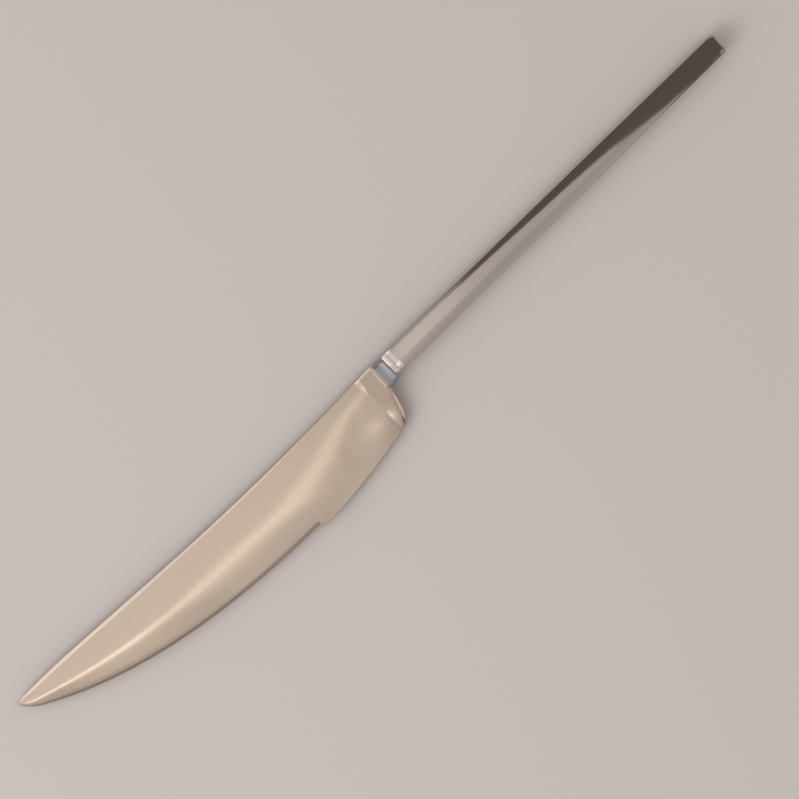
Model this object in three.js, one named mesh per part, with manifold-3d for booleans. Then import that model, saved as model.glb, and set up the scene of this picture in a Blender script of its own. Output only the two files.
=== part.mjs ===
// Steak knife: a hollow square handle, a collar, and a forged blade whose tang is cemented
// into the handle.
//
// The knife lies flat: +X runs to the butt, +Y to the spine, +Z out of the face. It is drawn with
// X = 0 at the handle's mouth and Y = Z = 0 on the handle's axis, and moved at the end so that the
// handle's back lies on Z = 0. Lengths are in millimetres.

import * as THREE from 'three';
import { mergeVertices } from 'three/addons/utils/BufferGeometryUtils.js';
import Module from 'manifold-3d';

const wasm = await Module();
wasm.setup();

// Handle: two pressed half shells, brazed along the middle of the narrow sides
const handleLength = 110;
const mouthHeight = 6.4;
const buttHeight = 5.65;
const handleThickness = 6;
const handleCornerRadius = 0.6;
const handleWall = 1;
const cavityCornerRadius = 0.4;
const mouthRoundLength = 2.4;
const mouthRoundDrop = 0.7;

// Butt cap: a plate over the open end of the shells, with a spigot inside them
const capThickness = 1.6;
const capEdgeRound = 0.4;
const capSpigotLength = 4;

// Collar: a bead between the blade's shoulder and the handle's mouth, set below the handle's axis
const collarLength = 3.1;
const collarFrontHeight = 6.4;
const collarRearHeight = 5.8;
const collarFrontThickness = 3.4;
const collarRearThickness = 3.9;
const collarSwell = 0.25;
const collarCornerRadius = 0.8;
const collarDrop = 0.8;

// Blade outline: heights are measured from the handle's axis
const bladeLength = 116.9;
const spineAtCollar = 3.2;
const spineDipReach = 63;
const spineDip = -0.3;
const spineSweepReach = 7.1;
const spineSweep = 7.5;
const tipHeight = 3.8;
const pointLength = 4.9;
const pointHeight = 4.3;
const pointCurveReach = 3.2;
const edgeSlopeAtPoint = THREE.MathUtils.degToRad(29);
const edgeDepth = 15.8;
const heelLength = 34.9;
const notchLength = 1.2;
const heelDepth = 16.9;
const heelCurveReach = 9.8;
const heelCornerSetback = 2.5;
const heelCornerDepth = 12.7;
const heelCornerRound = 2.5;
const heelRearTop = 4.4;

// Blade section: flat from the spine to the grind line, then ground down to the edge. It slopes
// up to the shoulder by the collar.
const bladeThickness = 1.5;
const tipThickness = 0.8;
const edgeThickness = 0.3;
const heelEdgeThickness = 0.6;
const grindShare = 0.57;
const heelGrindShare = 0.2;
const grindFadeLength = 14;
const shoulderLength = 5;
const shoulderFlat = 0.8;
const shoulderThickness = 3.36;
const shoulderShareAtEdge = 0.75;

// Serrations: round gullets ground into the face side of the edge
const serrationPitch = 1.25;
const gulletRadius = 1.2;
const serrationWidth = 1.1;
const gulletBreakthrough = 0.05;

// Tang, and the cement that holds it
const tangLength = 62;
const tangHeight = 2.8;
const tangEndHeight = 2.2;
const tangThickness = 1.2;
const tangRoot = 2;
const fitGap = 0.25;

// Smoothness of the round parts, and how far a cutter runs past what it cuts
const cornerSteps = 5;
const roundSteps = 5;
const collarSteps = 10;
const outlineSteps = 20;
const grindSteps = 14;
const gulletSides = 24;
const outside = 1;

const steel = (name, colour, roughness) =>
  new THREE.MeshStandardMaterial({ name, color: colour, roughness, metalness: 1 });
const satinSteel = steel('satin_steel', 0xc4b6a4, 0.32);
const collarSteel = steel('collar_steel', 0x9aa0a0, 0.2);
const polishedSteel = steel('polished_steel', 0xb0a59c, 0.12);
const cementGrey = new THREE.MeshStandardMaterial({
  name: 'cement', color: 0x9b948a, roughness: 0.9, metalness: 0,
});

// Closed skin over rings of points that follow each other along +X. Each ring runs
// counter-clockwise as seen from +X.
function loft(rings) {
  const count = rings[0].length;
  const index = [];
  for (let start = 0; start < (rings.length - 1) * count; start += count) {
    for (let side = 0; side < count; side += 1) {
      const here = start + side;
      const next = start + ((side + 1) % count);
      index.push(here, next, next + count, here, next + count, here + count);
    }
  }
  const flat = (ring) => ring.map((point) => new THREE.Vector2(point.y, point.z));
  for (const [a, b, c] of THREE.ShapeUtils.triangulateShape(flat(rings[0]), [])) {
    index.push(a, c, b);
  }
  const last = (rings.length - 1) * count;
  for (const [a, b, c] of THREE.ShapeUtils.triangulateShape(flat(rings.at(-1)), [])) {
    index.push(last + a, last + b, last + c);
  }
  const geometry = new THREE.BufferGeometry().setFromPoints(rings.flat());
  geometry.setIndex(index);
  return geometry;
}

function toSolid(geometry) {
  const bare = geometry.clone();
  bare.deleteAttribute('normal');
  bare.deleteAttribute('uv');
  const merged = mergeVertices(bare);
  const vertProperties = new Float32Array(merged.attributes.position.array);
  const triVerts = new Uint32Array(merged.index.array);
  return new wasm.Manifold(new wasm.Mesh({ numProp: 3, vertProperties, triVerts }));
}

function toGeometry(solid) {
  const mesh = solid.getMesh();
  const geometry = new THREE.BufferGeometry();
  geometry.setAttribute('position', new THREE.BufferAttribute(mesh.vertProperties, 3));
  geometry.setIndex(new THREE.BufferAttribute(mesh.triVerts, 1));
  return geometry;
}

function namedMesh(name, geometry, material) {
  geometry.computeVertexNormals();
  const mesh = new THREE.Mesh(geometry, material);
  mesh.name = name;
  return mesh;
}

// Upper half of a rounded rectangle, from the +Y side over the top to the -Y side
function halfSection(x, halfHeight, halfThickness, radius) {
  const points = [new THREE.Vector3(x, halfHeight, 0)];
  for (const side of [1, -1]) {
    for (let step = 0; step <= cornerSteps; step += 1) {
      const share = side > 0 ? step : cornerSteps - step;
      const turn = (share / cornerSteps) * Math.PI / 2;
      points.push(new THREE.Vector3(
        x,
        side * (halfHeight - radius + radius * Math.cos(turn)),
        halfThickness - radius + radius * Math.sin(turn),
      ));
    }
  }
  points.push(new THREE.Vector3(x, -halfHeight, 0));
  return points;
}

// Whole rounded rectangle
function fullSection(x, halfHeight, halfThickness, radius) {
  const rim = halfSection(x, halfHeight, halfThickness, radius).slice(1, -1);
  const bottom = rim.map((point) => new THREE.Vector3(x, -point.y, -point.z));
  return [...rim, ...bottom];
}

// Handle section at x: it tapers in height to the butt, and its faces round over to the mouth
function handleHalfSizes(x) {
  const taper = THREE.MathUtils.lerp(mouthHeight, buttHeight, x / handleLength) / 2;
  const reach = Math.max(0, 1 - x / mouthRoundLength);
  const drop = mouthRoundDrop * (1 - Math.sqrt(1 - reach * reach));
  return { height: taper - drop / 2, thickness: handleThickness / 2 - drop };
}

const shellEnd = handleLength - capThickness;
const cementEnd = shellEnd - capSpigotLength - fitGap;
const shoulderFace = -collarLength;
const shoulderStart = shoulderFace - shoulderLength;
const shoulderSlopeEnd = shoulderFace - shoulderFlat;

// Stations that follow the rounding at the mouth, then run straight to the end
function handleStations(start, end) {
  const stations = [start];
  for (let step = 1; step <= roundSteps; step += 1) {
    const turn = (step / roundSteps) * Math.PI / 2;
    stations.push(mouthRoundLength * (1 - Math.cos(turn)));
  }
  stations.push(end);
  return stations.filter((x) => x >= start);
}

function shellRing(x) {
  const { height, thickness } = handleHalfSizes(x);
  const outer = halfSection(x, height, thickness, handleCornerRadius);
  const inner = halfSection(x, height - handleWall, thickness - handleWall, cavityCornerRadius);
  return [...outer, ...inner.toReversed()];
}

function makeFaceShell() {
  return loft(handleStations(0, shellEnd).map(shellRing));
}

// The back shell is the face shell turned over about the handle's axis
function makeBackShell() {
  return makeFaceShell().rotateX(Math.PI);
}

function cavityRing(x, gap) {
  const { height, thickness } = handleHalfSizes(x);
  const wall = handleWall + gap;
  return fullSection(x, height - wall, thickness - wall, cavityCornerRadius);
}

// Section of the cap's plate, drawn in by inset where its end edge is rounded
function plateRing(x, inset) {
  const { height, thickness } = handleHalfSizes(x);
  return fullSection(x, height - inset, thickness - inset, handleCornerRadius - inset / 2);
}

function makeButtCap() {
  const plate = [plateRing(shellEnd, 0)];
  for (let step = 0; step <= roundSteps; step += 1) {
    const turn = (step / roundSteps) * Math.PI / 2;
    const x = handleLength - capEdgeRound * (1 - Math.sin(turn));
    plate.push(plateRing(x, capEdgeRound * (1 - Math.cos(turn))));
  }
  const spigotStart = shellEnd - capSpigotLength;
  const spigotEnd = shellEnd + capThickness / 2;
  const spigot = [spigotStart, spigotEnd].map((x) => cavityRing(x, fitGap));
  return toGeometry(toSolid(loft(plate)).add(toSolid(loft(spigot))));
}

function tangRing(x, gap) {
  const share = Math.min(1, Math.max(0, x / tangLength));
  const halfHeight = THREE.MathUtils.lerp(tangHeight, tangEndHeight, share) / 2 + gap;
  const halfThickness = tangThickness / 2 + gap;
  return [
    new THREE.Vector3(x, halfHeight, -halfThickness),
    new THREE.Vector3(x, halfHeight, halfThickness),
    new THREE.Vector3(x, -halfHeight, halfThickness),
    new THREE.Vector3(x, -halfHeight, -halfThickness),
  ];
}

function tangSolid(start, gap) {
  return toSolid(loft([start, 0, tangLength + gap].map((x) => tangRing(x, gap))));
}

function makeCement() {
  const rings = handleStations(fitGap, cementEnd).map((x) => cavityRing(x, fitGap));
  return toGeometry(toSolid(loft(rings)).subtract(tangSolid(-outside, fitGap)));
}

function makeCollar() {
  const rings = [];
  for (let step = 0; step <= collarSteps; step += 1) {
    const share = step / collarSteps;
    const swell = collarSwell * Math.sin(share * Math.PI);
    const height = THREE.MathUtils.lerp(collarFrontHeight, collarRearHeight, share) / 2;
    const thickness = THREE.MathUtils.lerp(collarFrontThickness, collarRearThickness, share) / 2;
    const x = THREE.MathUtils.lerp(shoulderFace, 0, share);
    const ring = fullSection(x, height + swell, thickness + swell, collarCornerRadius);
    for (const spot of ring) spot.y -= collarDrop;
    rings.push(ring);
  }
  return toGeometry(toSolid(loft(rings)).subtract(tangSolid(shoulderFace - outside, fitGap)));
}

// Outline of the blade, from the top of the shoulder along the spine to the tip, and back along
// the edge and the heel
const point = (x, y) => new THREE.Vector2(x, y);
const tipX = shoulderFace - bladeLength;
const notchX = shoulderFace - heelLength;
const shoulderTop = point(shoulderFace, spineAtCollar);
const tip = point(tipX, tipHeight);
const pointStart = point(tipX + pointLength, tipHeight - pointHeight);
const pointRise = pointCurveReach * Math.tan(edgeSlopeAtPoint);
const edgeEnd = point(notchX, -edgeDepth);
const bellyReach = (pointStart.y + edgeDepth) / Math.tan(edgeSlopeAtPoint);
const notchCorner = point(notchX + notchLength, -heelDepth);
const heelBend = point(notchCorner.x + heelCurveReach, -heelDepth);
const heelCorner = point(shoulderFace - heelCornerSetback, -heelCornerDepth);
const rearTop = point(shoulderFace, -heelRearTop);
const toward = (from, to, distance) =>
  to.clone().sub(from).setLength(distance).add(from);
const cornerStart = toward(heelCorner, heelBend, heelCornerRound);
const cornerEnd = toward(heelCorner, rearTop, heelCornerRound);

const spine = new THREE.CubicBezierCurve(
  shoulderTop,
  point(shoulderFace - spineDipReach, spineDip),
  point(tipX + spineSweepReach, spineSweep),
  tip,
);
const pointCurve = new THREE.QuadraticBezierCurve(
  tip,
  point(pointStart.x - pointCurveReach, pointStart.y + pointRise),
  pointStart,
);
const belly = new THREE.QuadraticBezierCurve(
  pointStart,
  point(pointStart.x + bellyReach, -edgeDepth),
  edgeEnd,
);
const heelBottom = new THREE.QuadraticBezierCurve(notchCorner, heelBend, cornerStart);
const heelRound = new THREE.QuadraticBezierCurve(cornerStart, heelCorner, cornerEnd);

function bladeOutline() {
  const outline = new THREE.Shape();
  outline.add(spine);
  outline.add(pointCurve);
  outline.add(belly);
  outline.add(new THREE.LineCurve(edgeEnd, notchCorner));
  outline.add(heelBottom);
  outline.add(heelRound);
  outline.add(new THREE.LineCurve(cornerEnd, rearTop));
  outline.add(new THREE.LineCurve(rearTop, shoulderTop));
  return outline;
}

// Height of a curve at x, between the nearest two of its points
function heightAt(curvePoints, x) {
  for (let next = 1; next < curvePoints.length; next += 1) {
    const [a, b] = [curvePoints[next - 1], curvePoints[next]];
    if ((a.x - x) * (b.x - x) <= 0 && a.x !== b.x) {
      return THREE.MathUtils.mapLinear(x, a.x, b.x, a.y, b.y);
    }
  }
  return x < curvePoints[0].x ? curvePoints[0].y : curvePoints.at(-1).y;
}

const spinePoints = spine.getPoints(outlineSteps).reverse();
const edgePoints = [
  ...pointCurve.getPoints(outlineSteps),
  ...belly.getPoints(outlineSteps),
  notchCorner,
  heelBend,
  heelCorner,
];

// Section of the ground blade at x, wider than the outline that trims it
function grindRing(x) {
  const top = heightAt(spinePoints, x);
  const edge = heightAt(edgePoints, x);
  const atHeel = THREE.MathUtils.smoothstep(x, notchX - grindFadeLength, shoulderStart);
  const share = THREE.MathUtils.lerp(grindShare, heelGrindShare, atHeel);
  const flat = THREE.MathUtils.mapLinear(x, tipX, shoulderStart, tipThickness, bladeThickness);
  const slope = THREE.MathUtils.mapLinear(x, shoulderStart, shoulderSlopeEnd, 0, 1);
  const lift = (shoulderThickness - bladeThickness) * THREE.MathUtils.clamp(slope, 0, 1);
  const thick = (Math.min(flat, bladeThickness) + lift) / 2;
  const pastNotch = THREE.MathUtils.smoothstep(x, notchX, notchCorner.x);
  const edgeFlat = THREE.MathUtils.lerp(edgeThickness, heelEdgeThickness, pastNotch);
  const thin = (edgeFlat + lift * shoulderShareAtEdge) / 2;
  const grind = THREE.MathUtils.lerp(top, edge, share);
  const sizes = [[top + outside, thick], [grind, thick], [edge, thin], [edge - outside, thin]];
  return [
    ...sizes.map(([y, z]) => new THREE.Vector3(x, y, z)),
    ...sizes.toReversed().map(([y, z]) => new THREE.Vector3(x, y, -z)),
  ];
}

function grindStations() {
  const stations = [tipX - outside];
  for (let step = 0; step < grindSteps; step += 1) {
    stations.push(THREE.MathUtils.lerp(tipX, notchX, step / grindSteps));
  }
  stations.push(notchX, notchCorner.x);
  for (let step = 1; step < roundSteps; step += 1) {
    stations.push(THREE.MathUtils.lerp(notchCorner.x, shoulderStart, step / roundSteps));
  }
  stations.push(shoulderStart, shoulderSlopeEnd, shoulderFace);
  return stations;
}

// One gullet: a round cutter that dives from the face to the back as it leaves the edge
function gullet(place, tangent) {
  const inward = new THREE.Vector3(-tangent.y, tangent.x, 0);
  const faceRise = (edgeThickness + gulletBreakthrough) / serrationWidth;
  const along = inward.clone().setZ(faceRise).normalize();
  const across = new THREE.Vector3(tangent.x, tangent.y, 0);
  const up = new THREE.Vector3().crossVectors(across, along);
  if (up.z < 0) up.negate();
  const low = new THREE.Vector3(place.x, place.y, -edgeThickness / 2 - gulletBreakthrough);
  const length = 2 * (serrationWidth + outside);
  const cutter = new THREE.CylinderGeometry(gulletRadius, gulletRadius, length, gulletSides);
  const turn = new THREE.Quaternion().setFromUnitVectors(new THREE.Vector3(0, 1, 0), along);
  cutter.applyQuaternion(turn);
  cutter.translate(...low.addScaledVector(up, gulletRadius).toArray());
  return toSolid(cutter);
}

function makeBlade() {
  const depth = 2 * (shoulderThickness + bladeThickness);
  const blank = new THREE.ExtrudeGeometry(bladeOutline(), {
    depth, bevelEnabled: false, curveSegments: outlineSteps,
  });
  blank.translate(0, 0, -depth / 2);
  let blade = toSolid(blank).intersect(toSolid(loft(grindStations().map(grindRing))));
  const edge = new THREE.CurvePath();
  edge.add(pointCurve);
  edge.add(belly);
  const gulletCount = Math.floor(edge.getLength() / serrationPitch);
  for (let number = 1; number < gulletCount; number += 1) {
    const share = (number + 0.5) / gulletCount;
    blade = blade.subtract(gullet(edge.getPointAt(share), edge.getTangentAt(share)));
  }
  return toGeometry(blade.add(tangSolid(shoulderFace - tangRoot, 0)));
}

const knife = new THREE.Group();
knife.add(
  namedMesh('blade', makeBlade(), satinSteel),
  namedMesh('bolster_collar', makeCollar(), collarSteel),
  namedMesh('handle_face_shell', makeFaceShell(), polishedSteel),
  namedMesh('handle_back_shell', makeBackShell(), polishedSteel),
  namedMesh('butt_cap', makeButtCap(), polishedSteel),
  namedMesh('handle_cement', makeCement(), cementGrey),
);

// The origin is under the middle of the knife, on the surface that it lies on
const box = new THREE.Box3().setFromObject(knife);
const middle = box.getCenter(new THREE.Vector3());
knife.position.set(-middle.x, -middle.y, -box.min.z);

export default knife;
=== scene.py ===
import math

import bmesh
import bpy
import numpy as np
from mathutils import Matrix, Vector


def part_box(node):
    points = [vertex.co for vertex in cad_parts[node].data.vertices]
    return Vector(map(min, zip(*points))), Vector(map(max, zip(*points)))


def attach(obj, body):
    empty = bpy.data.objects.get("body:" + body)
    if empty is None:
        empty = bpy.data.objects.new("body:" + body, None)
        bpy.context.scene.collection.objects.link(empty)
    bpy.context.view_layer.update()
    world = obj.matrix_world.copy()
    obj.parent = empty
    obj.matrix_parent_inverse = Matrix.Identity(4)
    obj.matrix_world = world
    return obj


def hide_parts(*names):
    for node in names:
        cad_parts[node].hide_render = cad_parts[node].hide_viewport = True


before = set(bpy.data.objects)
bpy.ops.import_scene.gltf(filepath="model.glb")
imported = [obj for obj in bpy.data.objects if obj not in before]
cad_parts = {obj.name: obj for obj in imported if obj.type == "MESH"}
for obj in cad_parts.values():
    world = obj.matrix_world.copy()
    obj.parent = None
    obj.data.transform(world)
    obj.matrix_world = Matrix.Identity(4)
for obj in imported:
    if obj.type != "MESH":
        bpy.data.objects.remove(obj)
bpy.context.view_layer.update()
scene = bpy.context.scene

# Lengths below are in millimetres, with X = 0 at the handle's mouth, Y = Z = 0 on its axis,
# +X to the butt, +Y to the spine and +Z out of the face. at() gives the place in the frame.
MM = 0.001
shell_low, shell_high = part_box("handle_face_shell")
mouth = Vector((shell_low.x, (shell_low.y + shell_high.y) / 2, shell_low.z))


def at(x, y, z):
    """Place in the frame of a place in the knife's millimetres."""
    return mouth + Vector((x, y, z)) * MM


# Places closer together than touch are the same, and vertices closer than a weld are merged
touch = 0.002
weld = 0.0005
sheet_weld = 0.001
# A face looks along X or Z where that part of its normal is more than this
facing = 0.9

# Handle
handle_length = 110
mouth_height = 6.4
butt_height = 5.65
handle_thickness = 6
handle_corner = 0.6
handle_corner_segments = 6
handle_wall = 1
face_crown = 0.13
crown_cuts = (0.25, 0.5, 0.7)
mouth_round_length = 3
mouth_round_drop = 0.7
mouth_round_power = 2.5
mouth_steps = 16
mouth_run_on = 0.4
seam_bevel = 0.05
seam_bevel_segments = 1
seam_reach = 0.1
cap_thickness = 1.6
cap_edge_round = 0.4
cap_edge_segments = 4
spigot_length = 4
fit_gap = 0.25
shell_end = handle_length - cap_thickness

# Collar
collar_length = 3.1
collar_front = Vector((0, 6.4, 3.4))
collar_lip = 0.36
collar_lip_start = 0.5
collar_lip_top = 0.9
collar_lip_fall = 0.11
collar_rear = Vector((0, 5.8, collar_front.z + 2 * (collar_lip - collar_lip_fall)))
collar_corner = 0.8
collar_corner_segments = 6
collar_drop = 0.8
collar_steps = 20
collar_end_rim = 0.4
collar_smooth_degrees = 50

# Blade outline
shoulder_face = -collar_length
blade_length = 116.9
tip_x = shoulder_face - blade_length
tip_height = 3.8
tip_lift = 0.55
tip_lift_length = 8
point_length = 4.9
point_height = 4.3
point_reach = 3.2
edge_slope = math.tan(math.radians(29))
edge_depth = 15.8
notch_x = shoulder_face - 34.9
notch_length = 1.2
heel_depth = 16.9
heel_reach = 9.8
heel_corner = Vector((shoulder_face - 2.5, -12.7))
heel_corner_round = 2.5
rear_top = Vector((shoulder_face, -4.4))
spine_at_collar = 3.2
spine_dip = Vector((shoulder_face - 63, -0.3))
spine_sweep = Vector((tip_x + 7.1, 7.5))

# Blade section
blade_thickness = 1.5
tip_thickness = 0.8
edge_thickness = 0.3
bevel_thickness = 0.42
bevel_thicken_start = -60
heel_edge_thickness = 0.6
least_bevel_share = 0.8
point_taper_length = 0.8
least_width = 0.01
# Narrower than this, the blade's rows and the rounding of its spine narrow with it
full_width = 6
grind_share = 0.57
heel_grind_share = 0.19
grind_rise_start = -49
grind_rise_end = -12
notch_even_reach = 6
notch_even_steps = 13
notch_even_start = -70
notch_even_full = -60
bevel_slope_most = 0.066
shoulder_start = shoulder_face - 5
shoulder_end = shoulder_face - 0.8
heel_swell = 0.062
heel_swell_place = Vector((-10.5, -10.4))
heel_swell_reach = Vector((5.0, 2.7))
shoulder_thickness = 3.36
shoulder_fade = 0.25
crease_top = 0.5
shoulder_ease = 1.6
shoulder_ease_reach = 1.2
spine_round_width = 0.8
spine_round_tip_width = 1.15
spine_round_fade = (-90, -60)
spine_round_drop = 0.24
spine_round_share_most = 0.45
rear_round_width = 1.2
rear_round_drop = 0.6
rear_round_power = 1.3
rear_round_lead = 1
rear_round_share_most = 0.7
rim_bevel = 0.1
rim_bevel_segments = 2
rim_clear_of_notch = 0.2
rim_clear_of_tip = 0.6
blade_smooth_degrees = 35

# Easing over the grind line at stations along the blade: how wide it is, how much of that lies
# above the line, and how fast its slope comes on
ease_stations = [tip_x, -95, -77, -62, -48, -34, -24, -15, shoulder_start]
ease_widths = [1.3, 2.2, 3.2, 8.8, 9.0, 11.0, 9.5, 3.4, 2.6]
ease_leads = [0.5, 0.5, 0.5, 0.5, 0.45, 0.25, 0.3, 0.45, 0.45]
ease_powers = [1, 1, 1, 1, 1, 1, 1, 1.2, 1.2]
ease_share_most = 0.9

# Rows of the blade's sheet: below the spine, as shares of the way down, and above the edge
spine_rows = [0, 0.12, 0.28, 0.5, 0.8, 1.15]
middle_rows = [0.06 * step for step in range(1, 16)] + [0.95]
edge_rows = [1.6, 1.3, 1.1, 0.9, 0.7, 0.5, 0.35, 0.2, 0.1, 0]
heel_column_spacing = 0.35
curve_steps = 2000
rear_line_steps = 80

# Serrations
serration_pitch = 1.25
columns_per_serration = 8
gullet_radius = 4
gullet_depth = 0.27
gullet_power = 3
serration_width = 1.5
serration_wide_end = -80
notch_serration_width = 1.1
narrow_width = 8
narrow_share_least = 0.4
serration_start = 1.5
serration_full = 5

# Tang
tang_length = 62
tang_height = 2.8
tang_end_height = 2.2
tang_thickness = 1.2


# Sockets of a Mix node that mixes colours. Their names are shared with its other kinds, so they go
# by number.
mix_share = 0
mix_from = 6
mix_to = 7
mix_result = 2


def to_linear(hex_colour):
    """Linear colour of an sRGB hex value, as a shader socket takes it."""
    channels = [int(hex_colour[place:place + 2], 16) / 255 for place in (1, 3, 5)]
    linear = [
        channel / 12.92 if channel <= 0.04045 else ((channel + 0.055) / 1.055) ** 2.4
        for channel in channels
    ]
    return (*linear, 1)


def add_node(tree, kind, settings=None, links=None):
    """Adds a node. settings fills its inputs or its own fields, links joins inputs to (node, output)."""
    node = tree.nodes.new(kind)
    for name, value in (settings or {}).items():
        if isinstance(name, int) or name in node.inputs:
            node.inputs[name].default_value = value
        else:
            setattr(node, name, value)
    for name, (source, output) in (links or {}).items():
        tree.links.new(source.outputs[output], node.inputs[name])
    return node


def new_material(name):
    """Empty node material, and its tree."""
    material = bpy.data.materials.new(name)
    material.use_nodes = True
    material.node_tree.nodes.clear()
    return material, material.node_tree


def add_output(tree, shader):
    """Makes a shader the material's surface."""
    add_node(tree, "ShaderNodeOutputMaterial", links={"Surface": (shader, 0)})


def pick(piece, kind, wanted):
    """In edit mode, selects only the vertices, edges or faces that wanted() says yes to."""
    modes = {"verts": "VERT", "edges": "EDGE", "faces": "FACE"}
    bpy.ops.mesh.select_mode(type=modes[kind])
    bpy.ops.mesh.select_all(action="DESELECT")
    shape = bmesh.from_edit_mesh(piece.data)
    for element in getattr(shape, kind):
        if wanted(element):
            element.select_set(True)
    shape.select_flush_mode()
    bmesh.update_edit_mesh(piece.data)


def place_of(element):
    """Middle of a vertex, edge or face in the knife's millimetres."""
    if isinstance(element, bmesh.types.BMVert):
        middle = element.co
    elif isinstance(element, bmesh.types.BMEdge):
        middle = (element.verts[0].co + element.verts[1].co) / 2
    else:
        middle = element.calc_center_median()
    return (middle - mouth) / MM


def near(one, other):
    """Says whether two coordinates are the same place."""
    return abs(one - other) < touch


def runs_lengthwise(edge):
    """Says whether an edge runs along the knife, not across it."""
    start, end = [place_of(vert) for vert in edge.verts]
    return not near(start.x, end.x)


def start_box(name, low, high):
    """Adds a cube of the size between two corners, and opens it in edit mode."""
    bpy.ops.object.select_all(action="DESELECT")
    bpy.ops.mesh.primitive_cube_add(size=1, location=at(*((low + high) / 2)))
    piece = bpy.context.active_object
    piece.name = name
    piece.scale = (high - low) * MM
    bpy.ops.object.transform_apply(location=True, rotation=True, scale=True)
    bpy.ops.object.mode_set(mode="EDIT")
    return piece


def cut_across(axis, places):
    """Bisects the whole mesh at each place along one axis."""
    normal = Vector((axis == "x", axis == "y", axis == "z"))
    for place in places:
        bpy.ops.mesh.select_all(action="SELECT")
        bpy.ops.mesh.bisect(plane_co=at(*(normal * place)), plane_no=normal)


def resize_about(centre, scale):
    """Scales what is selected about a place."""
    bpy.ops.transform.resize(value=scale, center_override=centre)


def bevel_edges(width, segments):
    """Rounds the selected edges."""
    bpy.ops.mesh.bevel(offset=width * MM, segments=segments, profile=0.5, affect="EDGES")


def apply_modifier(piece, kind, **settings):
    """Gives the piece a modifier and applies it."""
    modifier = piece.modifiers.new(kind.lower(), kind)
    for name, value in settings.items():
        setattr(modifier, name, value)
    bpy.ops.object.modifier_apply(modifier=modifier.name)


def finish_piece(piece, node, material, smooth_degrees=40):
    """Closes the piece's mesh, shades it, and hands it over in place of its CAD node."""
    bpy.ops.object.select_all(action="DESELECT")
    piece.select_set(True)
    bpy.context.view_layer.objects.active = piece
    bpy.ops.object.mode_set(mode="EDIT")
    bpy.ops.mesh.select_all(action="SELECT")
    bpy.ops.mesh.remove_doubles(threshold=weld * MM)
    bpy.ops.mesh.dissolve_degenerate(threshold=weld * MM)
    bpy.ops.mesh.select_all(action="SELECT")
    bpy.ops.mesh.normals_make_consistent(inside=False)
    bpy.ops.object.mode_set(mode="OBJECT")
    bpy.ops.object.shade_smooth_by_angle(angle=math.radians(smooth_degrees))
    piece.data.materials.clear()
    piece.data.materials.append(material)
    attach(piece, "root")
    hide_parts(node)


# Camera: almost overhead, leaned to the spine's side, with the handle running up to the right.
# The photo's width is in pixels, and its scale in pixels to a millimetre.
photo_width = 799
photo_scale = 4.183
camera_distance = 620
camera_tilt = math.radians(4)
handle_angle = math.radians(44.43)
aim = at(-3.77, -7.65, 0)
sensor_width = 36

toward_camera = Vector((0, math.sin(camera_tilt), math.cos(camera_tilt)))
spine_in_view = Vector((0, math.cos(camera_tilt), -math.sin(camera_tilt)))
along_handle = Vector((1, 0, 0))
view_right = along_handle * math.cos(handle_angle) - spine_in_view * math.sin(handle_angle)
view_up = along_handle * math.sin(handle_angle) + spine_in_view * math.cos(handle_angle)
camera_data = bpy.data.cameras.new("camera")
camera_data.sensor_width = sensor_width
camera_data.lens = sensor_width * camera_distance / (photo_width / photo_scale)
camera = bpy.data.objects.new("camera", camera_data)
camera_turn = Matrix((view_right, view_up, toward_camera)).transposed()
camera.matrix_world = Matrix.LocRotScale(
    aim + toward_camera * camera_distance * MM, camera_turn.to_quaternion(), None
)
scene.collection.objects.link(camera)
scene.camera = camera


# Materials
def ground_steel():
    """Blade steel, ground and then finely polished: a warm, even sheen with faint grinding lines
    that run from the spine to the edge, and a slow waviness where the wheel dwelt."""
    material, tree = new_material("fine_satin_ground_blade_steel")
    place = add_node(tree, "ShaderNodeTexCoord")
    # Real grinding lines are a few hundredths of a millimetre apart, so they are drawn coarser to show
    line_spacing = 0.5 * MM
    line_length = 14 * MM
    lines_place = add_node(
        tree, "ShaderNodeMapping",
        {"Scale": (1 / line_spacing, 1 / line_length, 1 / line_length)},
        {"Vector": (place, "Object")},
    )
    lines = add_node(
        tree, "ShaderNodeTexNoise", {"Scale": 1, "Detail": 3, "Roughness": 0.6},
        {"Vector": (lines_place, 0)},
    )
    wave_length = 9 * MM
    waves = add_node(
        tree, "ShaderNodeTexNoise", {"Scale": 1 / wave_length, "Detail": 1},
        {"Vector": (place, "Object")},
    )
    tint = add_node(
        tree, "ShaderNodeMix",
        {"data_type": "RGBA", mix_from: to_linear("#c2b0a0"), mix_to: to_linear("#c8b6a6")},
        {mix_share: (lines, 0)},
    )
    gloss = add_node(
        tree, "ShaderNodeMapRange", {"To Min": 0.08, "To Max": 0.11}, {"Value": (lines, 0)},
    )
    wave_bump = add_node(
        tree, "ShaderNodeBump", {"Strength": 0.12, "Distance": 0.02 * MM},
        {"Height": (waves, 0)},
    )
    line_bump = add_node(
        tree, "ShaderNodeBump", {"Strength": 0.1, "Distance": 0.002 * MM},
        {"Height": (lines, 0), "Normal": (wave_bump, 0)},
    )
    shader = add_node(
        tree, "ShaderNodeBsdfPrincipled", {"Metallic": 1},
        {"Base Color": (tint, mix_result), "Roughness": (gloss, 0), "Normal": (line_bump, 0)},
    )
    add_output(tree, shader)
    return material


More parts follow.
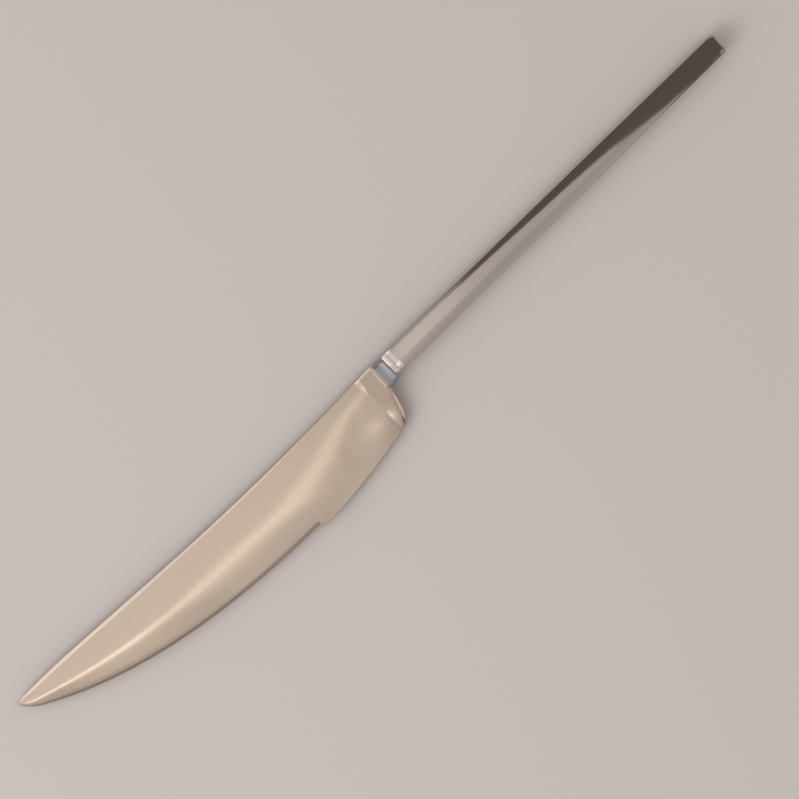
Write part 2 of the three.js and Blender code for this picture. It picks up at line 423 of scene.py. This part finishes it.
def bright_steel(name, pale, dark, roughness):
    """Mirror-polished stainless steel: clear reflections, softened by hairline scratches that run
    along the knife."""
    material, tree = new_material(name)
    place = add_node(tree, "ShaderNodeTexCoord")
    roughness_spread = 0.25
    # Real hairlines are a few hundredths of a millimetre apart, so they are drawn coarser to show
    scratch_spacing = 0.4 * MM
    scratch_length = 25 * MM
    scratch_place = add_node(
        tree, "ShaderNodeMapping",
        {"Scale": (1 / scratch_length, 1 / scratch_spacing, 1 / scratch_spacing)},
        {"Vector": (place, "Object")},
    )
    scratches = add_node(
        tree, "ShaderNodeTexNoise", {"Scale": 1, "Detail": 4, "Roughness": 0.65},
        {"Vector": (scratch_place, 0)},
    )
    tint = add_node(
        tree, "ShaderNodeMix",
        {"data_type": "RGBA", mix_from: to_linear(dark), mix_to: to_linear(pale)},
        {mix_share: (scratches, 0)},
    )
    gloss = add_node(
        tree, "ShaderNodeMapRange",
        {"To Min": roughness * (1 - roughness_spread), "To Max": roughness * (1 + roughness_spread)},
        {"Value": (scratches, 0)},
    )
    bump = add_node(
        tree, "ShaderNodeBump", {"Strength": 0.06, "Distance": 0.002 * MM},
        {"Height": (scratches, 0)},
    )
    shader = add_node(
        tree, "ShaderNodeBsdfPrincipled", {"Metallic": 1},
        {"Base Color": (tint, mix_result), "Roughness": (gloss, 0), "Normal": (bump, 0)},
    )
    add_output(tree, shader)
    return material


def filling_cement():
    """Set handle cement: matt grey, with sand grains and small pores."""
    material, tree = new_material("set_grey_handle_cement")
    place = add_node(tree, "ShaderNodeTexCoord")
    grain_size = 0.4 * MM
    grains = add_node(
        tree, "ShaderNodeTexNoise", {"Scale": 1 / grain_size, "Detail": 4},
        {"Vector": (place, "Object")},
    )
    tint = add_node(
        tree, "ShaderNodeMix",
        {"data_type": "RGBA", mix_from: to_linear("#857e75"), mix_to: to_linear("#aaa399")},
        {mix_share: (grains, 0)},
    )
    bump = add_node(
        tree, "ShaderNodeBump", {"Strength": 0.5, "Distance": 0.1 * MM}, {"Height": (grains, 0)},
    )
    shader = add_node(
        tree, "ShaderNodeBsdfPrincipled", {"Roughness": 0.92},
        {"Base Color": (tint, mix_result), "Normal": (bump, 0)},
    )
    add_output(tree, shader)
    return material


blade_steel = ground_steel()
handle_steel = bright_steel("mirror_polished_pressed_handle_steel", "#cabfb8", "#c2b7b0", 0.06)
# The collar's steel is the handle's polished steel tinted darker and bluer: painted shade and a painted
# bluish reflection, standing in for how light falls on the collar between blade and handle.
collar_steel = bright_steel("polished_collar_steel_with_painted_shade", "#a5a9ad", "#999da1", 0.22)


# Blade outline: curves given by their control points, from the tip to the shoulder
point_start = Vector((tip_x + point_length, tip_height - point_height))
tip = Vector((tip_x, tip_height + tip_lift))
edge_end = Vector((notch_x, -edge_depth))
belly_bend = Vector((point_start.x + (point_start.y + edge_depth) / edge_slope, -edge_depth))
notch_corner = Vector((notch_x + notch_length, -heel_depth))
heel_bend = Vector((notch_corner.x + heel_reach, -heel_depth))
corner_start = heel_corner + (heel_bend - heel_corner).normalized() * heel_corner_round
corner_end = heel_corner + (rear_top - heel_corner).normalized() * heel_corner_round
point_bend = Vector((point_start.x - point_reach, point_start.y + point_reach * edge_slope))
point_curve = [tip, point_bend, point_start]
belly_curve = [point_start, belly_bend, edge_end]
heel_curves = [
    [edge_end, notch_corner],
    [notch_corner, heel_bend, corner_start],
    [corner_start, heel_corner, corner_end],
    [corner_end, rear_top],
]
spine_start = Vector((tip_x, tip_height))
spine_curve = [spine_start, spine_sweep, spine_dip, Vector((shoulder_face, spine_at_collar))]


def curve_points(controls, count):
    """Points on the curve of two, three or four control points."""
    share = np.linspace(0, 1, count)[:, None]
    points = [np.array(control)[None, :] for control in controls]
    while len(points) > 1:
        pairs = zip(points, points[1:])
        points = [first * (1 - share) + second * share for first, second in pairs]
    return points[0]


def walk(curves, spacing):
    """Points at an even spacing along joined curves, and how far along each one is."""
    fine = np.concatenate([curve_points(controls, curve_steps) for controls in curves])
    along = np.concatenate([[0], np.cumsum(np.linalg.norm(np.diff(fine, axis=0), axis=1))])
    stops = np.linspace(0, along[-1], max(2, round(along[-1] / spacing) + 1))
    points = np.stack([np.interp(stops, along, fine[:, axis]) for axis in (0, 1)], axis=1)
    return points, stops


def smooth_step(value, start, end):
    """Rises from 0 to 1 between two values, gently at both ends."""
    share = np.clip((value - start) / (end - start), 0, 1)
    return share * share * (3 - 2 * share)


# Each column of the blade's sheet stands on a point of this line and reaches up to the spine
edge_walk, edge_stops = walk([point_curve, belly_curve], serration_pitch / columns_per_serration)
edge_total = edge_stops[-1]
serrations = math.floor(edge_total / serration_pitch)
column_points = [edge_walk]
for heel_curve in heel_curves:
    heel_points, _ = walk([heel_curve], heel_column_spacing)
    column_points.append(heel_points[1:])
lower_line = np.concatenate(column_points)
crease_column = np.searchsorted(lower_line[:, 0], shoulder_start)
crease_low = np.interp(shoulder_start, lower_line[:, 0], lower_line[:, 1])
lower_line = np.insert(lower_line, crease_column, (shoulder_start, crease_low), axis=0)
spine_line = curve_points(spine_curve, curve_steps)
past_tip = np.clip((spine_line[:, 0] - tip_x) / tip_lift_length, 0, 1)
spine_line[:, 1] += tip_lift * (1 - past_tip) ** 2
rear_line = np.concatenate([curve_points(controls, rear_line_steps) for controls in heel_curves[2:]])


def spine_at(x):
    """Height of the spine."""
    return np.interp(x, spine_line[:, 0], spine_line[:, 1])


def lower_at(x):
    """Height of the edge and of the heel's outline."""
    return np.interp(x, lower_line[:, 0], lower_line[:, 1])


def body_low_at(x):
    """The lower line as the grind follows it: evened out over the notch, and run on past the heel."""
    reach = np.linspace(-notch_even_reach, notch_even_reach, notch_even_steps)
    evened = np.mean([lower_at(np.minimum(x + step, shoulder_start)) for step in reach], axis=0)
    toward_notch = smooth_step(x, notch_even_start, notch_even_full)
    return lower_at(x) + (evened - lower_at(x)) * toward_notch


def serration_reach(x):
    """How far up from the edge the serrations reach. They get shorter toward the notch, and at the
    point, where the blade narrows."""
    reach = np.interp(x, (serration_wide_end, notch_x), (serration_width, notch_serration_width))
    return reach * np.clip((spine_at(x) - lower_at(x)) / narrow_width, narrow_share_least, 1)


def share_to_edge(x, y):
    """0 where the serrations start, and 1 at the edge."""
    return np.clip(1 - (y - lower_at(x)) / serration_reach(x), 0, 1)


def ground_half(x, y):
    """Half the thickness that the grinding leaves: flat below the spine, eased over the grind line,
    then sloped down to the edge."""
    top = spine_at(x)
    body_low = body_low_at(x)
    body_width = np.maximum(top - body_low, least_width)
    thick = np.interp(x, [tip_x, shoulder_start], [tip_thickness, blade_thickness]) / 2
    toward_heel = smooth_step(x, bevel_thicken_start, shoulder_start)
    thin = (bevel_thickness + (heel_edge_thickness - bevel_thickness) * toward_heel) / 2
    at_heel = smooth_step(x, grind_rise_start, grind_rise_end)
    share = grind_share + (heel_grind_share - grind_share) * at_heel
    grind = top - body_width * share
    ground_width = np.maximum(grind - body_low, least_width)
    thick = np.minimum(thick, thin + bevel_slope_most * ground_width)
    lead_share = np.interp(x, ease_stations, ease_leads)
    power = np.interp(x, ease_stations, ease_powers)
    ease = np.interp(x, ease_stations, ease_widths)
    ease = np.minimum(ease, ease_share_most * ground_width / (1 - lead_share))
    into_ease = grind - y + ease * lead_share
    share_in = np.clip(into_ease / ease, 0, 1)
    eased = ease * (share_in - (1 - (1 - share_in) ** (power + 1)) / (power + 1))
    ramp = eased + np.maximum(into_ease - ease, 0)
    whole_ramp = ease * power / (power + 1) + ground_width - ease * (1 - lead_share)
    return np.maximum(thick - (thick - thin) * ramp / whole_ramp, least_bevel_share * thin)


def heel_swelling(x, y):
    """How far the low swell on the heel stands out."""
    swell_x = (x - heel_swell_place.x) / heel_swell_reach.x
    swell_y = (y - heel_swell_place.y) / heel_swell_reach.y
    return heel_swell * np.exp(-swell_x ** 2 - swell_y ** 2)


def shoulder_rise(x, y):
    """How far the face slopes up to the shoulder by the collar: from a sharp crease, eased above the
    crease's top, and less down the heel's rear."""
    above_crease = smooth_step(y, crease_top - shoulder_ease_reach, crease_top + shoulder_ease_reach)
    ease = shoulder_ease * above_crease + least_width
    into = np.maximum(np.minimum(x, shoulder_end) - shoulder_start + ease / 2, 0)
    eased = np.minimum(into, ease) ** 2 / (2 * ease)
    rise = (eased + np.maximum(into - ease, 0)) / (shoulder_end - shoulder_start)
    fade = 1 - shoulder_fade * smooth_step(-y, -rear_top.y, -heel_corner.y)
    return (shoulder_thickness - blade_thickness) / 2 * rise * fade


def spine_drop(x, y, half):
    """How far the rounding of the spine falls. It narrows with the blade."""
    width = np.maximum(spine_at(x) - lower_at(x), least_width)
    round_width = np.interp(x, spine_round_fade, (spine_round_tip_width, spine_round_width))
    round_width = round_width * np.minimum(1, width / full_width)
    to_spine = np.clip(1 - (spine_at(x) - y) / round_width, 0, 1)
    return np.minimum(spine_round_drop, half * spine_round_share_most) * to_spine ** 2


def rear_drop(x, y, half):
    """How far the rounding of the heel's rear falls."""
    from_rear = np.hypot(x[..., None] - rear_line[:, 0], y[..., None] - rear_line[:, 1]).min(axis=-1)
    to_rear = np.clip(1 - from_rear / rear_round_width, 0, 1)
    to_rear = to_rear * smooth_step(x, corner_start.x - rear_round_lead, heel_corner.x)
    return np.minimum(rear_round_drop, half * rear_round_share_most) * to_rear ** rear_round_power


def half_thickness(x, y):
    """Half the blade's thickness at places on its face, before the gullets are cut."""
    half = ground_half(x, y) + heel_swelling(x, y)
    half = half + shoulder_rise(x, y)
    half = half - spine_drop(x, y, half)
    half = half - rear_drop(x, y, half)
    keen = edge_thickness / 2 + (half - edge_thickness / 2) * (1 - share_to_edge(x, y) ** 2)
    half = np.where(x < notch_x, np.minimum(half, keen), half)
    point_share = smooth_step(x, tip_x, tip_x + point_taper_length)
    return edge_thickness / 2 + (half - edge_thickness / 2) * point_share


def gullet_cut(x, y):
    """How deep the gullets are hollowed into the face side over a place near the edge."""
    along = np.interp(x, edge_walk[:, 0], edge_stops)
    phase = (along / edge_total * serrations) % 1 - 0.5
    across = phase * edge_total / serrations
    ridge = gullet_radius - np.sqrt(gullet_radius ** 2 - across ** 2)
    cut = np.maximum(gullet_depth * share_to_edge(x, y) ** gullet_power - ridge, 0)
    return cut * smooth_step(along, serration_start, serration_full)


def face_points():
    """Points of the blade's face in rows from the spine down to the edge, closer where it narrows."""
    top = spine_at(lower_line[:, 0])
    low = lower_line[:, 1]
    fit = np.minimum(1, (top - low) / full_width)
    heights = [top - row * fit for row in spine_rows]
    upper = heights[-1]
    lower = low + edge_rows[0] * fit
    heights += [upper + (lower - upper) * share for share in middle_rows]
    heights += [low + row * fit for row in edge_rows]
    x = np.repeat(lower_line[None, :, 0], len(heights), axis=0)
    y = np.stack(heights)
    return np.stack([x, y, half_thickness(x, y)], axis=-1)


def start_blade():
    """Adds a grid, shapes it to the blade's face, and pulls the mirrored back side out of it."""
    points = face_points()
    rows, columns = points.shape[:2]
    bpy.ops.object.select_all(action="DESELECT")
    bpy.ops.mesh.primitive_grid_add(
        x_subdivisions=columns - 1, y_subdivisions=rows - 1, size=1, location=at(0, 0, 0)
    )
    piece = bpy.context.active_object
    piece.name = "blade_visual"
    bpy.ops.object.transform_apply(location=True, rotation=True, scale=True)
    coords = points[::-1].reshape(-1, 3) * MM + np.array(mouth)
    piece.data.vertices.foreach_set("co", coords.ravel())
    piece.data.update()
    bpy.ops.object.mode_set(mode="EDIT")
    bpy.ops.mesh.select_all(action="SELECT")
    bpy.ops.mesh.extrude_region_move()
    resize_about(at(0, 0, 0), (1, 1, -1))
    bpy.ops.mesh.select_all(action="SELECT")
    bpy.ops.mesh.remove_doubles(threshold=sheet_weld * MM)
    bpy.ops.mesh.normals_make_consistent(inside=False)
    return piece


def cut_gullets(piece):
    """Hollows the serrations into the face side of the edge."""
    shape = bmesh.from_edit_mesh(piece.data)
    for vert in shape.verts:
        spot = place_of(vert)
        above_edge = spot.y - lower_at(spot.x)
        if spot.z > 0 and spot.x < notch_x and above_edge < serration_width:
            vert.co.z -= gullet_cut(spot.x, spot.y) * MM
    bmesh.update_edit_mesh(piece.data)


def crease_and_bevel(piece):
    """Keeps the crease at the shoulder's foot sharp, and bevels the rims of the spine and the heel."""

    def on_crease(edge):
        ends = [place_of(vert) for vert in edge.verts]
        return all(near(end.x, shoulder_start) and end.y < crease_top for end in ends)

    def on_rim(edge):
        ends = [place_of(vert) for vert in edge.verts]
        on_spine = all(near(end.y, spine_at(end.x)) for end in ends)
        on_heel = all(
            near(end.y, lower_at(end.x)) and end.x > notch_x + rim_clear_of_notch for end in ends
        )
        same_skin = ends[0].z * ends[1].z > 0
        clear_of_tip = all(end.x > tip_x + rim_clear_of_tip for end in ends)
        return (on_spine or on_heel) and same_skin and clear_of_tip and runs_lengthwise(edge)

    pick(piece, "edges", on_crease)
    bpy.ops.mesh.mark_sharp()
    pick(piece, "edges", on_rim)
    bevel_edges(rim_bevel, rim_bevel_segments)


def pull_tang(piece):
    """Pulls the tapered tang out of the shoulder's end."""
    pick(piece, "faces", lambda face: near(place_of(face).x, shoulder_face))
    bpy.ops.mesh.extrude_region_move()
    shoulder_middle = (spine_at_collar + rear_top.y) / 2
    bpy.ops.transform.translate(value=(0, -shoulder_middle * MM, 0))
    shoulder_height = spine_at_collar - rear_top.y
    resize_about(
        at(shoulder_face, 0, 0),
        (1, tang_height / shoulder_height, tang_thickness / shoulder_thickness),
    )
    bpy.ops.mesh.extrude_region_move(
        TRANSFORM_OT_translate={"value": ((tang_length - shoulder_face) * MM, 0, 0)}
    )
    resize_about(at(tang_length, 0, 0), (1, tang_end_height / tang_height, 1))


def make_blade():
    """Blade and tang in one piece."""
    piece = start_blade()
    cut_gullets(piece)
    crease_and_bevel(piece)
    pull_tang(piece)
    bpy.ops.object.mode_set(mode="OBJECT")
    finish_piece(piece, "blade", blade_steel, blade_smooth_degrees)


def shape_bead(piece):
    """Cuts the collar's box across, rounds its long edges, and draws it out to the lip at the handle."""
    stations = [shoulder_face + collar_length * step / collar_steps
                for step in range(collar_steps + 1)]
    cut_across("x", stations[1:-1])
    pick(piece, "edges", runs_lengthwise)
    bevel_edges(collar_corner, collar_corner_segments)
    for step, station in enumerate(stations):
        share = step / collar_steps
        flare = collar_lip * smooth_step(share, collar_lip_start, collar_lip_top)
        fall = collar_lip_fall * smooth_step(share, collar_lip_top, 1)
        height = collar_front.y + (collar_rear.y - collar_front.y) * share
        thickness = collar_front.z + 2 * (flare - fall)
        pick(piece, "verts", lambda vert: near(place_of(vert).x, station))
        resize_about(
            at(station, -collar_drop, 0), (1, height / collar_front.y, thickness / collar_front.z)
        )


def cut_tang_slot(piece):
    """Opens the slot for the tang through the collar. Its end faces have rounded corners, so each has
    more vertices than the plain faces round it."""
    slot_height = tang_height + 2 * fit_gap
    slot_thickness = tang_thickness + 2 * fit_gap
    plain_face_vertices = 4
    ends = (shoulder_face, 0)

    def on_end(face):
        return abs(face.normal.x) > facing and any(near(place_of(face).x, end) for end in ends)

    def on_slot(face):
        return abs(face.normal.x) > facing and len(face.verts) > plain_face_vertices

    pick(piece, "faces", on_end)
    bpy.ops.mesh.inset(thickness=collar_end_rim * MM, use_individual=True)
    for end, size in zip(ends, (collar_front, collar_rear)):
        pick(piece, "faces", lambda face: on_slot(face) and near(place_of(face).x, end))
        inner_height = size.y - 2 * collar_end_rim
        inner_thickness = size.z - 2 * collar_end_rim
        resize_about(
            at(end, -collar_drop, 0),
            (1, slot_height / inner_height, slot_thickness / inner_thickness),
        )
        bpy.ops.transform.translate(value=(0, collar_drop * MM, 0))
    pick(piece, "faces", on_slot)
    bpy.ops.mesh.bridge_edge_loops()


def make_collar():
    """Bead between the blade's shoulder and the handle, with a slot for the tang."""
    drop = Vector((0, -collar_drop, 0))
    half = collar_front / 2
    piece = start_box(
        "bolster_collar_visual", Vector((shoulder_face, 0, 0)) - half + drop, half + drop
    )
    shape_bead(piece)
    cut_tang_slot(piece)
    bpy.ops.object.mode_set(mode="OBJECT")
    finish_piece(piece, "bolster_collar", collar_steel, collar_smooth_degrees)


def crown_and_round(piece, top):
    """Crowns the faces of a handle bar across its height, and rounds its long edges."""
    half = mouth_height / 2
    cut_across("y", [side * share * half for share in crown_cuts for side in (-1, 1)])
    for share in (*crown_cuts, 1):
        for side in (1, -1):
            pick(piece, "verts", lambda vert: near(abs(place_of(vert).y), share * half)
                 and near(place_of(vert).z, side * top))
            bpy.ops.transform.translate(value=(0, 0, -side * face_crown * share ** 2 * MM))
    edge_top = top - face_crown

    def on_long_edge(edge):
        spots = [place_of(vert) for vert in edge.verts]
        at_corner = all(near(abs(spot.y), half) and near(abs(spot.z), edge_top) for spot in spots)
        return at_corner and runs_lengthwise(edge)

    pick(piece, "edges", on_long_edge)
    bevel_edges(handle_corner, handle_corner_segments)


def taper(piece, station):
    """Draws a handle bar's section in to its height at a station."""
    height = mouth_height + (butt_height - mouth_height) * station / handle_length
    pick(piece, "verts", lambda vert: near(place_of(vert).x, station))
    resize_about(at(station, 0, 0), (1, height / mouth_height, 1))


def round_mouth(piece, half, top):
    """Draws the shell in to its mouth, and turns the mouth's rim in by the wall."""
    stations = [mouth_round_length * (1 - math.cos(step / mouth_steps * math.pi / 2))
                for step in range(mouth_steps + 1)]
    cut_across("x", [*stations[1:], mouth_round_length + mouth_run_on])
    for station in stations[:-1]:
        reach = 1 - station / mouth_round_length
        drop = mouth_round_drop * reach ** mouth_round_power
        pick(piece, "verts", lambda vert: near(place_of(vert).x, station))
        resize_about(at(station, 0, 0), (1, 1 - drop / 2 / half, 1 - drop / top))
    pick(piece, "edges", lambda edge: all(near(place_of(vert).x, 0) for vert in edge.verts))
    bpy.ops.mesh.extrude_region_move()
    mouth_half = half - mouth_round_drop / 2
    mouth_top = top - mouth_round_drop
    resize_about(
        at(0, 0, 0), (1, (mouth_half - handle_wall) / mouth_half, (mouth_top - handle_wall) / mouth_top)
    )


def bevel_seam(piece):
    """Bevels the outer edges along the seam, so that the two shells meet in a fine groove."""

    def on_seam(edge):
        at_seam = all(near(place_of(vert).z, 0) for vert in edge.verts)
        outside = abs(place_of(edge).y) > butt_height / 2 - seam_reach
        return at_seam and outside and runs_lengthwise(edge)

    pick(piece, "edges", on_seam)
    bevel_edges(seam_bevel, seam_bevel_segments)


def make_shells():
    """The handle's two pressed halves. The back one is a mirrored copy of the face one."""
    top = handle_thickness / 2
    half = mouth_height / 2
    piece = start_box(
        "handle_face_shell_visual", Vector((0, -half, 0)), Vector((shell_end, half, top))
    )
    pick(piece, "faces", lambda face: face.normal.z < -facing or abs(face.normal.x) > facing)
    bpy.ops.mesh.delete(type="FACE")
    crown_and_round(piece, top)
    taper(piece, shell_end)
    round_mouth(piece, half, top)
    bpy.ops.mesh.select_all(action="SELECT")
    bpy.ops.mesh.normals_make_consistent(inside=False)
    bpy.ops.object.mode_set(mode="OBJECT")
    apply_modifier(piece, "SOLIDIFY", thickness=handle_wall * MM, offset=-1)
    bpy.ops.object.mode_set(mode="EDIT")
    bevel_seam(piece)
    bpy.ops.object.mode_set(mode="OBJECT")
    bpy.ops.object.duplicate()
    back = bpy.context.active_object
    back.name = "handle_back_shell_visual"
    bpy.ops.object.mode_set(mode="EDIT")
    bpy.ops.mesh.select_all(action="SELECT")
    resize_about(at(0, 0, 0), (1, 1, -1))
    bpy.ops.object.mode_set(mode="OBJECT")
    finish_piece(back, "handle_back_shell", handle_steel)
    finish_piece(piece, "handle_face_shell", handle_steel)


def make_butt_cap():
    """Plate that closes the butt, with a spigot inside the shells."""
    top = handle_thickness / 2
    half = mouth_height / 2
    piece = start_box(
        "butt_cap_visual", Vector((shell_end, -half, -top)), Vector((handle_length, half, top))
    )
    crown_and_round(piece, top)
    taper(piece, shell_end)
    taper(piece, handle_length)

    def on_end_rim(edge):
        at_end = all(near(place_of(vert).x, handle_length) for vert in edge.verts)
        return at_end and any(abs(face.normal.x) < facing for face in edge.link_faces)

    pick(piece, "edges", on_end_rim)
    bevel_edges(cap_edge_round, cap_edge_segments)
    pick(piece, "faces", lambda face: face.normal.x < -facing)
    bpy.ops.mesh.extrude_region_move()
    spigot_inset = 2 * (handle_wall + fit_gap)
    resize_about(
        at(shell_end, 0, 0),
        (1, 1 - spigot_inset / butt_height, 1 - spigot_inset / handle_thickness),
    )
    bpy.ops.mesh.extrude_region_move(
        TRANSFORM_OT_translate={"value": (-spigot_length * MM, 0, 0)}
    )
    bpy.ops.object.mode_set(mode="OBJECT")
    finish_piece(piece, "butt_cap", handle_steel)


make_blade()
make_collar()
make_shells()
make_butt_cap()
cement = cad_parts["handle_cement"]
cement.data.materials.clear()
cement.data.materials.append(filling_cement())

# Stage, in metres: a pale floor, an even sky with a glow, soft lamps, and cards that only the
# metal sees
floor_colour = "#c7beba"
floor_size = 6
bpy.ops.object.select_all(action="DESELECT")
bpy.ops.mesh.primitive_plane_add(size=floor_size, location=(0, 0, 0))
floor = bpy.context.active_object
floor.name = "floor"
# Painted table top: pale, a little warm and matt, with hardly a shine
floor_material, floor_tree = new_material("pale_table_top")
floor_shader = add_node(
    floor_tree, "ShaderNodeBsdfPrincipled",
    {"Base Color": to_linear(floor_colour), "Roughness": 0.8, "Specular IOR Level": 0.1},
)
add_output(floor_tree, floor_shader)
floor.data.materials.append(floor_material)

# The sky is even, with a soft round glow overhead, a little to the tip's side
sky_level = 0.52
glow_level = 0.52
glow_lean = math.radians(-12.5)
glow_dip = math.radians(-1.5)
glow_radius = math.radians(18)
glow_toward = Vector((math.tan(glow_lean), math.tan(glow_dip), 1)).normalized()
world = bpy.data.worlds.new("studio")
scene.world = world
world.use_nodes = True
world.node_tree.nodes.clear()
direction = add_node(world.node_tree, "ShaderNodeTexCoord")
glow_centre = add_node(
    world.node_tree, "ShaderNodeVectorMath", {"operation": "DOT_PRODUCT", 1: glow_toward},
    {0: (direction, "Generated")},
)
level = add_node(
    world.node_tree, "ShaderNodeMapRange",
    {"interpolation_type": "SMOOTHSTEP", "From Min": math.cos(glow_radius), "From Max": 1,
     "To Min": sky_level, "To Max": sky_level + glow_level},
    {"Value": (glow_centre, "Value")},
)
sky = add_node(
    world.node_tree, "ShaderNodeBackground", {"Color": to_linear("#fffdfb")},
    {"Strength": (level, 0)},
)
add_node(world.node_tree, "ShaderNodeOutputWorld", links={"Surface": (sky, 0)})


def add_lamp(name, place, aim_at, size, radiance, colour):
    """Rectangular soft lamp of a given brightness, aimed at a point."""
    data = bpy.data.lights.new(name, "AREA")
    data.shape = "RECTANGLE"
    data.size, data.size_y = size
    data.energy = radiance * math.pi * size[0] * size[1]
    data.color = to_linear(colour)[:3]
    lamp = bpy.data.objects.new(name, data)
    lamp.location = place
    lamp.rotation_euler = (Vector(aim_at) - Vector(place)).to_track_quat("-Z", "Y").to_euler()
    scene.collection.objects.link(lamp)
    return lamp


# Lamps overhead that the steel reflects, each between two corners: on the spine, on the handle's
# mouth and face, on the heel's rear rim and on the heel's face
lamp_height = 1.0
lamp_white = "#ffffff"
strip_white = "#fffcf0"
warm_white = "#fff4ea"
for name, low_corner, high_corner, brightness in (
    ("shoulder_spine_lamp", (-0.56, 0.14), (-0.42, 1.0), 0.55),
    ("tip_spine_lamp", (-0.42, 0.14), (-0.2, 1.0), 0.88),
    ("spine_lamp", (-0.2, 0.14), (-0.085, 1.0), 0.72),
    ("rear_spine_lamp", (-0.085, 0.14), (0.0, 1.0), 0.3),
    ("near_mouth_lamp", (-1.0, -0.1), (-0.56, 1.4), 0.5),
    ("mouth_lamp", (-2.8, -0.1), (-1.0, 1.4), 0.95),
    ("lower_mouth_lamp", (-2.8, -0.4), (-0.56, -0.1), 0.4),
    ("handle_lamp", (0.02, -0.09), (0.075, 0.1), 0.17),
    ("rear_handle_lamp", (0.075, -0.09), (0.24, 0.1), 0.08),
    ("rear_rim_lamp", (0.02, -0.45), (0.45, -0.31), 0.15),
    ("heel_face_lamp", (-0.075, -0.32), (0, -0.115), 0.08),
):
    size = (high_corner[0] - low_corner[0], high_corner[1] - low_corner[1])
    middle = (low_corner[0] + size[0] / 2, low_corner[1] + size[1] / 2)
    add_lamp(name, (*middle, lamp_height), (*middle, 0), size, brightness, lamp_white)

# A warm lamp past the butt, for the rounding of the heel's rear
heel_lamp_place = (0.78, -0.36, 0.85)
heel_lamp_size = (0.8, 0.4)
heel_lamp_brightness = 0.4
add_lamp(
    "heel_lamp", heel_lamp_place, (0, 0, 0), heel_lamp_size, heel_lamp_brightness, warm_white
)

# Lamps that light the floor and stay out of the steel's reflections. The one at the tip is the
# brighter, so the shadows fall toward the butt.
for name, place, size, brightness in (
    ("tip_floor_lamp", (-1.0, 0, 0.8), (0.6, 0.9), 4.1),
    ("butt_floor_lamp", (1.0, 0, 0.8), (0.6, 0.9), 0.5),
):
    floor_lamp = add_lamp(name, place, (0, 0, 0), size, brightness, lamp_white)
    floor_lamp.visible_glossy = False

# Strip lamps that light the eased grind line, brightest toward the tip
for number, (start, end, side, width, brightness) in enumerate((
    (-0.41, -0.225, -0.118, 0.034, 1.08),
    (-0.225, -0.1, -0.112, 0.034, 0.58),
    (-0.1, -0.015, -0.109, 0.062, 0.48),
)):
    middle = ((start + end) / 2, side)
    add_lamp(
        f"grind_line_lamp_{number}", (*middle, lamp_height), (*middle, 0), (end - start, width),
        brightness, strip_white,
    )

# Cards hang just under the lamps
card_height = 0.99


def add_card(name, material, start, end, width):
    """Card overhead that only reflections show. Its near edge runs from start to end, and it lies to
    the left of that."""
    run = (end - start).normalized()
    side = Vector((-run.y, run.x))
    middle = (start + end) / 2 + side * width / 2
    bpy.ops.object.select_all(action="DESELECT")
    bpy.ops.mesh.primitive_plane_add(size=1, location=(*middle, card_height))
    card = bpy.context.active_object
    card.name = name
    card.scale = ((end - start).length, width, 1)
    card.rotation_euler = (0, 0, math.atan2(run.y, run.x))
    bpy.ops.object.transform_apply(location=True, rotation=True, scale=True)
    card.data.materials.append(material)
    card.visible_camera = False
    card.visible_diffuse = False
    card.visible_shadow = False


def card_paper(name, colour):
    """Matt card that glows at its own even shade, so that no lamp marks it."""
    material, tree = new_material(name)
    shade = add_node(tree, "ShaderNodeEmission", {"Color": to_linear(colour), "Strength": 1})
    add_output(tree, shade)
    return material


# The dark cards' near edges bend over the handle, so that their reflection widens to the butt and
# darkens its end and its lower edge. The grey card darkens the serrations, and the pale ones
# quieten the bevel and the shoulder.
dark_paper = card_paper("dark_brown_card", "#676160")
grey_paper = card_paper("grey_card", "#a8a4a2")
pale_paper = card_paper("pale_grey_card", "#dad8d6")
light_paper = card_paper("light_grey_card", "#dedcda")
card_bend = Vector((0.2, -0.045))
side_run = Vector((0.148, -0.132))
end_run = Vector((0.06, -0.17))
for name, paper, start, end, width in (
    ("side_card", dark_paper, card_bend - side_run, card_bend + side_run, 0.3),
    ("end_card", dark_paper, card_bend, card_bend + end_run, 0.3),
    ("spine_card", dark_paper, (0.08, 0.055), (0.45, 0.055), 3),
    ("butt_card", dark_paper, (0.25, -0.55), (0.6, -3.2), 0.35),
    ("butt_edge_card", dark_paper, (0.266, -0.19), (0.266, -0.56), 0.04),
    ("far_card", dark_paper, (0.45, -0.3), (3, -0.3), 0.5),
    ("edge_card", grey_paper, (-0.08, -0.5), (-1.2, -0.5), 2),
    ("bevel_card", pale_paper, (-0.17, -0.165), (-0.52, -0.165), 0.335),
    ("shoulder_card", light_paper, (-0.42, 0.13), (-0.52, 0.13), 0.29),
):
    add_card(name, paper, Vector(start), Vector(end), width)

scene.view_settings.view_transform = "Standard"
